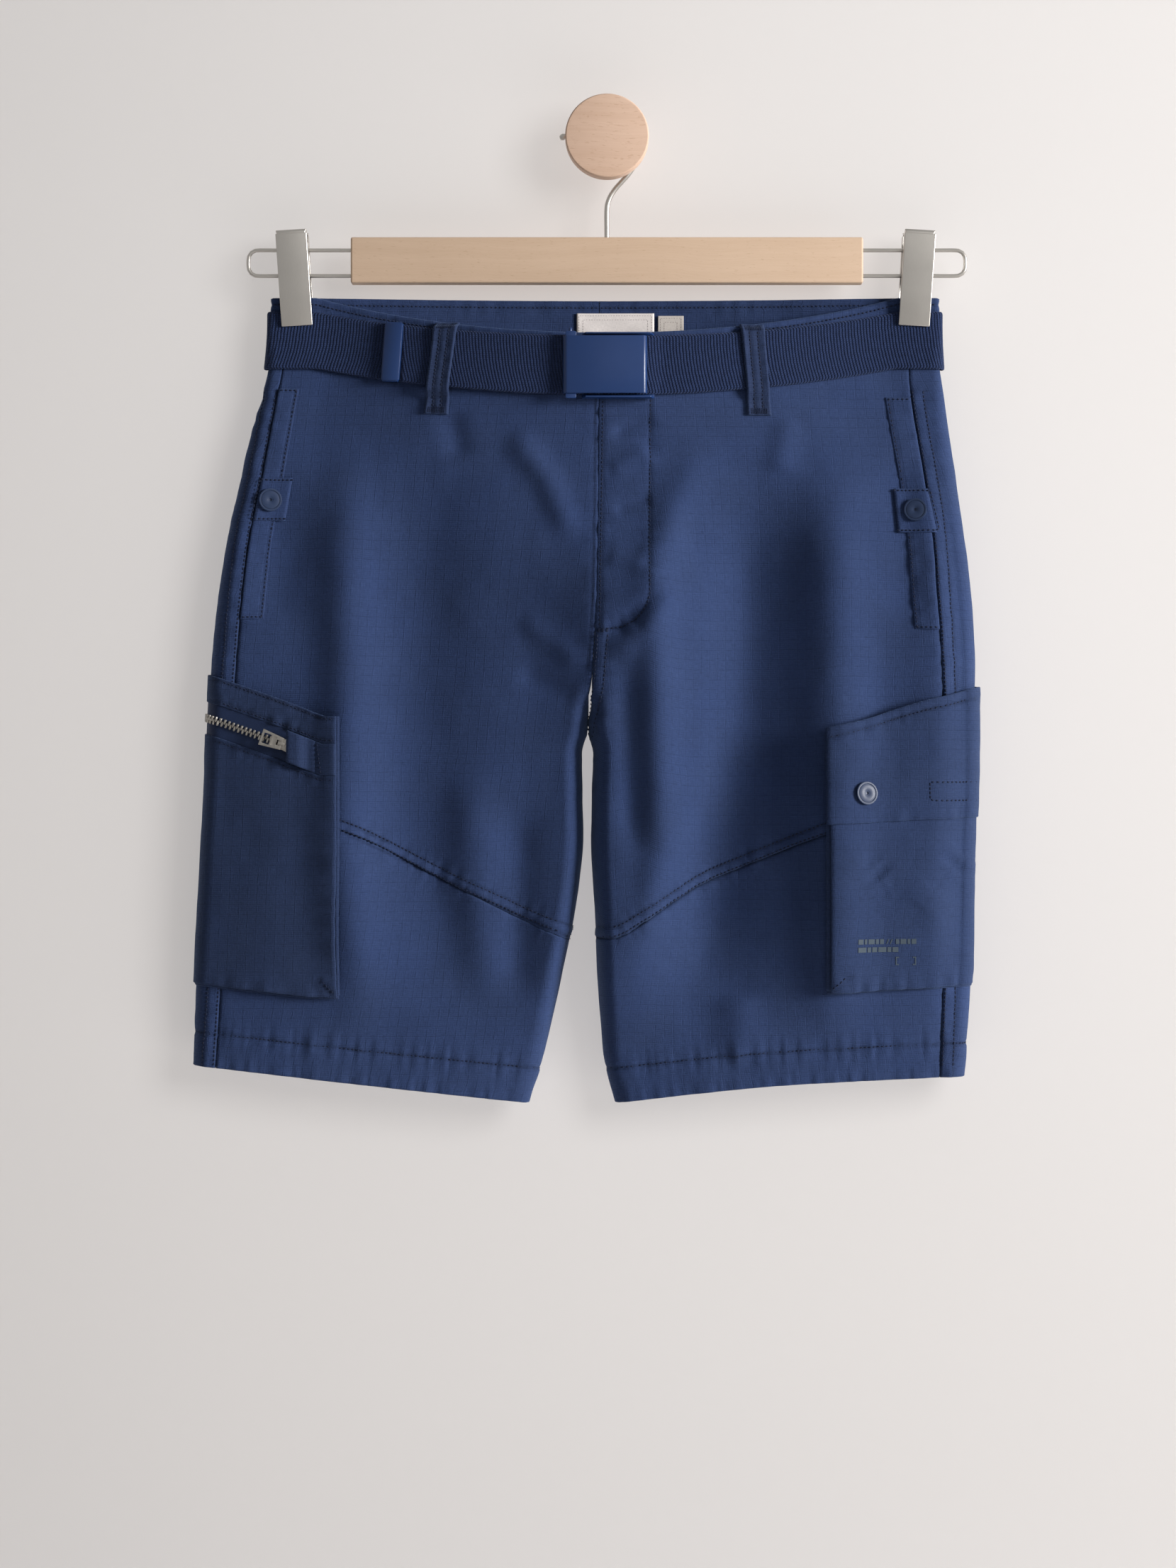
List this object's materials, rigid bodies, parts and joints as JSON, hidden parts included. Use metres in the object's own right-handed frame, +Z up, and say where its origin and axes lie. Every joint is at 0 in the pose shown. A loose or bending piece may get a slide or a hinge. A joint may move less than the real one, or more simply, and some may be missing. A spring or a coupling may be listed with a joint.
{
  "type": "cargo shorts on a clip hanger with a wall peg",
  "caption": "Knee-length cargo shorts with webbing belt, zip and flap thigh pockets, clipped to a bar hanger that hangs on a round wall peg.",
  "frame": {"origin": "centre of the peg's back face, on the wall", "axes": "+Z up, the wearer's front towards -Y, the wall in the plane y = 0, +X to the right as seen from the front (the wearer's left)"},
  "size_m": [0.5219, 0.0739, 0.6641],
  "materials": {
    "cloth": "matt cotton ripstop with a fine grid of heavier threads, enzyme washed",
    "webbing": "close ribbed webbing",
    "zip_tape": "woven tape",
    "enamel": "satin navy enamel",
    "nickel": "aged, half-bright",
    "label": "plain woven satin",
    "beech": "pale, oiled, half-matt",
    "steel": "satin plated"
  },
  "bodies": {
    "shorts": {"back_left": "cloth", "back_right": "cloth", "belt": "webbing", "belt_loop_back_centre": "cloth", "belt_loop_back_left": "cloth", "belt_loop_back_right": "cloth", "belt_loop_front_left": "cloth", "belt_loop_front_right": "cloth", "belt_tip": "enamel", "buckle_cover": "enamel", "buckle_frame": "enamel", "buckle_pin": "enamel", "cargo_left_face": "cloth", "cargo_left_flap": "cloth", "cargo_left_gusset": "cloth", "cargo_right_band": "cloth", "cargo_right_face": "cloth", "cargo_right_gusset": "cloth", "clip_back_left": "steel", "clip_back_right": "steel", "clip_front_left": "steel", "clip_front_right": "steel", "clip_saddle_left": "steel", "clip_saddle_right": "steel", "fly_facing": "cloth", "front_left": "cloth", "front_left_lower": "cloth", "front_right": "cloth", "front_right_lower": "cloth", "hanger_bar": "beech", "hanger_hook": "steel", "hanger_rail_left": "steel", "hanger_rail_right": "steel", "hem_turn_left": "cloth", "hem_turn_right": "cloth", "label_main": "label", "label_size": "label", "peg_disc": "beech", "peg_stem": "beech", "pocket_band_left": "cloth", "pocket_band_right": "cloth", "snap_cargo": "enamel", "snap_pocket_left": "enamel", "snap_pocket_right": "enamel", "waistband_left": "cloth", "waistband_right": "cloth", "zip_end_back": "cloth", "zip_end_front": "cloth", "zip_garage": "cloth", "zip_slider": "nickel", "zip_tape": "zip_tape", "zip_teeth": "nickel"},
    "pull": {"zip_pull": "nickel"}
  },
  "joints": [
    {"name": "zip_pull_hinge", "type": "hinge", "parent": "shorts", "child": "pull", "pos_m": [-0.21314, -0.06316, -0.39974], "axis": [0.3329, 0.0203, 0.9427], "range_deg": [0, 150]}
  ]
}
